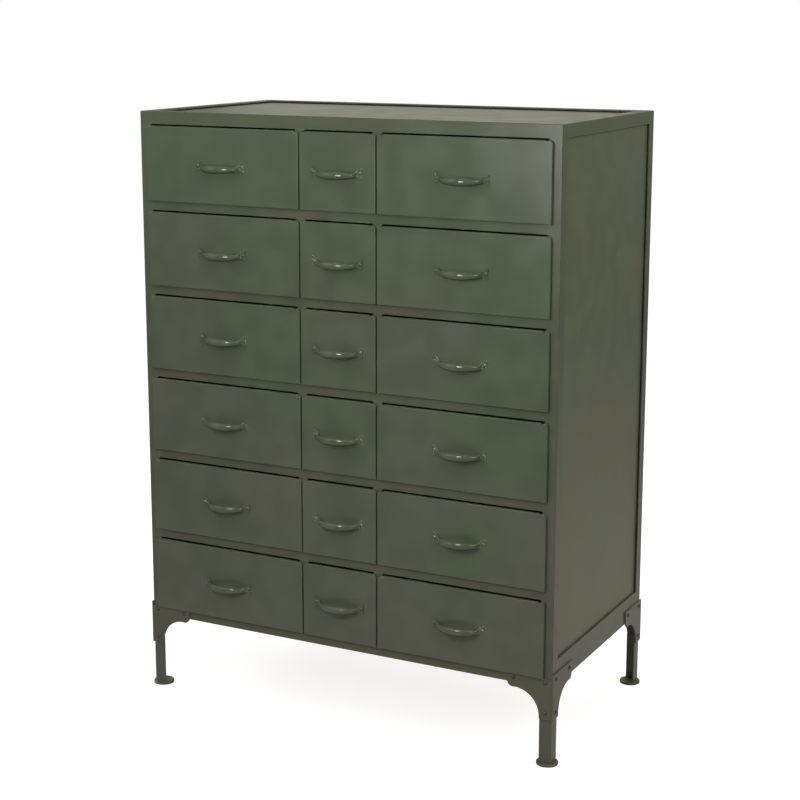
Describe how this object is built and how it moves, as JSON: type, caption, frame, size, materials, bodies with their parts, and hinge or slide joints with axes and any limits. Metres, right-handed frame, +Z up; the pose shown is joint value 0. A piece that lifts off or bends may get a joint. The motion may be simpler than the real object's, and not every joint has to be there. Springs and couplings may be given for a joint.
{
  "type": "drawer cabinet",
  "caption": "Tall metal drawer cabinet with three columns of drawers in an angle-iron frame, bow pulls, riveted corner brackets and short legs with round feet.",
  "frame": {"origin": "on the floor under the middle of the whole cabinet, pulls and feet included", "axes": "+Z up, the height; +X along the width, to the right as seen from the drawers; -Y faces the drawers' side"},
  "size_m": [0.917, 0.5234, 1.2],
  "materials": {
    "frame_paint": "semi-gloss grey-green paint on angle iron",
    "panel_paint": "semi-gloss grey-green paint on sheet steel",
    "drawer_paint": "semi-gloss grey-green paint on folded sheet steel",
    "pull_paint": "gloss grey-green paint on cast iron"
  },
  "bodies": {
    "carcass": {"front_right_post": "frame_paint", "front_left_post": "frame_paint", "rear_right_post": "frame_paint", "rear_left_post": "frame_paint", "front_right_bracket": "frame_paint", "front_left_bracket": "frame_paint", "rear_right_bracket": "frame_paint", "rear_left_bracket": "frame_paint", "round_feet": "frame_paint", "bracket_rivets": "frame_paint", "top_frame_rails": "frame_paint", "bottom_front_rail": "frame_paint", "bottom_rear_rail": "frame_paint", "bottom_right_rail": "frame_paint", "bottom_left_rail": "frame_paint", "front_cross_rails": "frame_paint", "rear_cross_rails": "frame_paint", "front_dividers": "frame_paint", "top_panel": "panel_paint", "bottom_panel": "panel_paint", "back_panel": "panel_paint", "right_side_panel": "panel_paint", "left_side_panel": "panel_paint", "drawer_runners": "frame_paint"},
    "left_drawer_1": {"left_drawer_1": "drawer_paint", "left_pull_1": "pull_paint"},
    "left_drawer_2": {"left_drawer_2": "drawer_paint", "left_pull_2": "pull_paint"},
    "left_drawer_3": {"left_drawer_3": "drawer_paint", "left_pull_3": "pull_paint"},
    "left_drawer_4": {"left_drawer_4": "drawer_paint", "left_pull_4": "pull_paint"},
    "left_drawer_5": {"left_drawer_5": "drawer_paint", "left_pull_5": "pull_paint"},
    "left_drawer_6": {"left_drawer_6": "drawer_paint", "left_pull_6": "pull_paint"},
    "centre_drawer_1": {"centre_drawer_1": "drawer_paint", "centre_pull_1": "pull_paint"},
    "centre_drawer_2": {"centre_drawer_2": "drawer_paint", "centre_pull_2": "pull_paint"},
    "centre_drawer_3": {"centre_drawer_3": "drawer_paint", "centre_pull_3": "pull_paint"},
    "centre_drawer_4": {"centre_drawer_4": "drawer_paint", "centre_pull_4": "pull_paint"},
    "centre_drawer_5": {"centre_drawer_5": "drawer_paint", "centre_pull_5": "pull_paint"},
    "centre_drawer_6": {"centre_drawer_6": "drawer_paint", "centre_pull_6": "pull_paint"},
    "right_drawer_1": {"right_drawer_1": "drawer_paint", "right_pull_1": "pull_paint"},
    "right_drawer_2": {"right_drawer_2": "drawer_paint", "right_pull_2": "pull_paint"},
    "right_drawer_3": {"right_drawer_3": "drawer_paint", "right_pull_3": "pull_paint"},
    "right_drawer_4": {"right_drawer_4": "drawer_paint", "right_pull_4": "pull_paint"},
    "right_drawer_5": {"right_drawer_5": "drawer_paint", "right_pull_5": "pull_paint"},
    "right_drawer_6": {"right_drawer_6": "drawer_paint", "right_pull_6": "pull_paint"}
  },
  "joints": [
    {"name": "left_drawer_1_slide", "type": "slide", "parent": "carcass", "child": "left_drawer_1", "axis": [0, -1, 0], "range_m": [0, 0.33]},
    {"name": "left_drawer_2_slide", "type": "slide", "parent": "carcass", "child": "left_drawer_2", "axis": [0, -1, 0], "range_m": [0, 0.33]},
    {"name": "left_drawer_3_slide", "type": "slide", "parent": "carcass", "child": "left_drawer_3", "axis": [0, -1, 0], "range_m": [0, 0.33]},
    {"name": "left_drawer_4_slide", "type": "slide", "parent": "carcass", "child": "left_drawer_4", "axis": [0, -1, 0], "range_m": [0, 0.33]},
    {"name": "left_drawer_5_slide", "type": "slide", "parent": "carcass", "child": "left_drawer_5", "axis": [0, -1, 0], "range_m": [0, 0.33]},
    {"name": "left_drawer_6_slide", "type": "slide", "parent": "carcass", "child": "left_drawer_6", "axis": [0, -1, 0], "range_m": [0, 0.33]},
    {"name": "centre_drawer_1_slide", "type": "slide", "parent": "carcass", "child": "centre_drawer_1", "axis": [0, -1, 0], "range_m": [0, 0.33]},
    {"name": "centre_drawer_2_slide", "type": "slide", "parent": "carcass", "child": "centre_drawer_2", "axis": [0, -1, 0], "range_m": [0, 0.33]},
    {"name": "centre_drawer_3_slide", "type": "slide", "parent": "carcass", "child": "centre_drawer_3", "axis": [0, -1, 0], "range_m": [0, 0.33]},
    {"name": "centre_drawer_4_slide", "type": "slide", "parent": "carcass", "child": "centre_drawer_4", "axis": [0, -1, 0], "range_m": [0, 0.33]},
    {"name": "centre_drawer_5_slide", "type": "slide", "parent": "carcass", "child": "centre_drawer_5", "axis": [0, -1, 0], "range_m": [0, 0.33]},
    {"name": "centre_drawer_6_slide", "type": "slide", "parent": "carcass", "child": "centre_drawer_6", "axis": [0, -1, 0], "range_m": [0, 0.33]},
    {"name": "right_drawer_1_slide", "type": "slide", "parent": "carcass", "child": "right_drawer_1", "axis": [0, -1, 0], "range_m": [0, 0.33]},
    {"name": "right_drawer_2_slide", "type": "slide", "parent": "carcass", "child": "right_drawer_2", "axis": [0, -1, 0], "range_m": [0, 0.33]},
    {"name": "right_drawer_3_slide", "type": "slide", "parent": "carcass", "child": "right_drawer_3", "axis": [0, -1, 0], "range_m": [0, 0.33]},
    {"name": "right_drawer_4_slide", "type": "slide", "parent": "carcass", "child": "right_drawer_4", "axis": [0, -1, 0], "range_m": [0, 0.33]},
    {"name": "right_drawer_5_slide", "type": "slide", "parent": "carcass", "child": "right_drawer_5", "axis": [0, -1, 0], "range_m": [0, 0.33]},
    {"name": "right_drawer_6_slide", "type": "slide", "parent": "carcass", "child": "right_drawer_6", "axis": [0, -1, 0], "range_m": [0, 0.33]}
  ]
}
